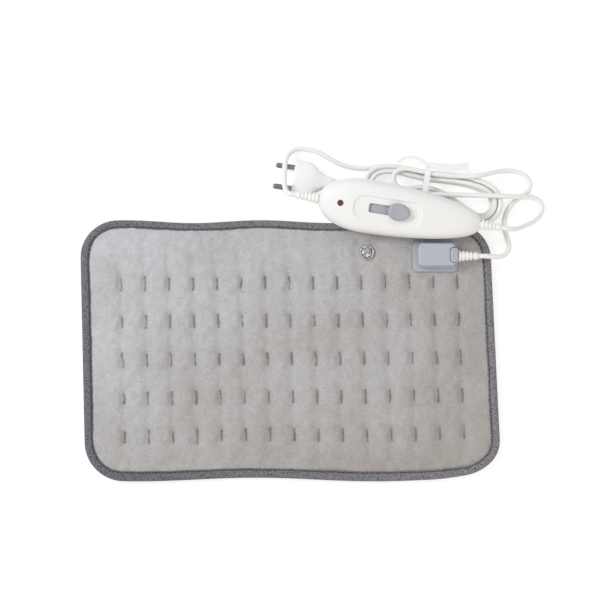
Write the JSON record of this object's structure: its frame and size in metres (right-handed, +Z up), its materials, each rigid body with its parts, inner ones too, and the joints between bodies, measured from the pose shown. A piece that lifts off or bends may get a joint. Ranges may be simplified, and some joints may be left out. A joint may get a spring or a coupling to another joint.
{
  "type": "heating pad with controller",
  "caption": "Quilted fleece heating pad with a bound edge, an in-line slide controller, a connector box, a hanked mains cord and a two-pin plug.",
  "frame": {"origin": "centre of the pad's underside, on the surface it lies on", "axes": "+X along the pad's long side, +Y towards the long edge that carries the connector and the controller, +Z up out of the quilted face"},
  "size_m": [0.407, 0.2984, 0.0429],
  "materials": {
    "fleece": "brushed fleece",
    "tape": "woven tape",
    "felt": "felt",
    "white_plastic": "satin",
    "grey_plastic": "satin",
    "box_plastic": "satin",
    "dark_plastic": "moulded",
    "boot_rubber": "moulded",
    "cord": "extruded",
    "steel": "plated",
    "brass": "plain",
    "copper": "insulated wire",
    "board": "laminate",
    "lens": "clear tint"
  },
  "bodies": {
    "pad": {"pad_top_quilt": "fleece", "pad_bottom_cover": "fleece", "heater_carrier": "felt", "heating_wire": "copper", "edge_binding": "tape", "snap_stud": "steel", "snap_post": "steel", "connector_base": "box_plastic", "connector_cover": "box_plastic", "connector_collar": "box_plastic", "connector_boot": "boot_rubber", "terminal_block": "dark_plastic", "terminal_screw_1": "brass", "terminal_screw_2": "brass", "thermal_fuse": "steel", "controller_upper_shell": "white_plastic", "controller_lower_shell": "white_plastic", "circuit_board": "board", "switch_tray": "dark_plastic", "indicator_lamp": "lens", "indicator_lens": "lens", "mains_terminals": "dark_plastic", "pad_terminals": "dark_plastic", "fuse": "steel", "resistor": "board", "capacitor": "dark_plastic", "triac": "dark_plastic", "case_screw_1": "steel", "case_screw_2": "steel", "case_screw_3": "steel", "mains_wire_1": "copper", "mains_wire_2": "copper", "pad_wire_1": "copper", "pad_wire_2": "copper", "mains_boot": "boot_rubber", "pad_lead_boot": "boot_rubber", "plug_body": "white_plastic", "plug_pin_1": "steel", "plug_pin_2": "steel", "plug_boot": "boot_rubber", "mains_cord": "cord", "mains_cord_hank": "cord", "plug_cord": "cord", "pad_lead": "cord", "cord_tie": "white_plastic"},
    "slider": {"slider_knob": "grey_plastic", "slider_shutter": "grey_plastic", "switch_carriage": "dark_plastic", "contact_leaf": "brass"}
  },
  "joints": [
    {"name": "slider_slide", "type": "slide", "parent": "pad", "child": "slider", "axis": [-0.9869, 0.1616, 0], "range_m": [0, 0.0165]}
  ]
}
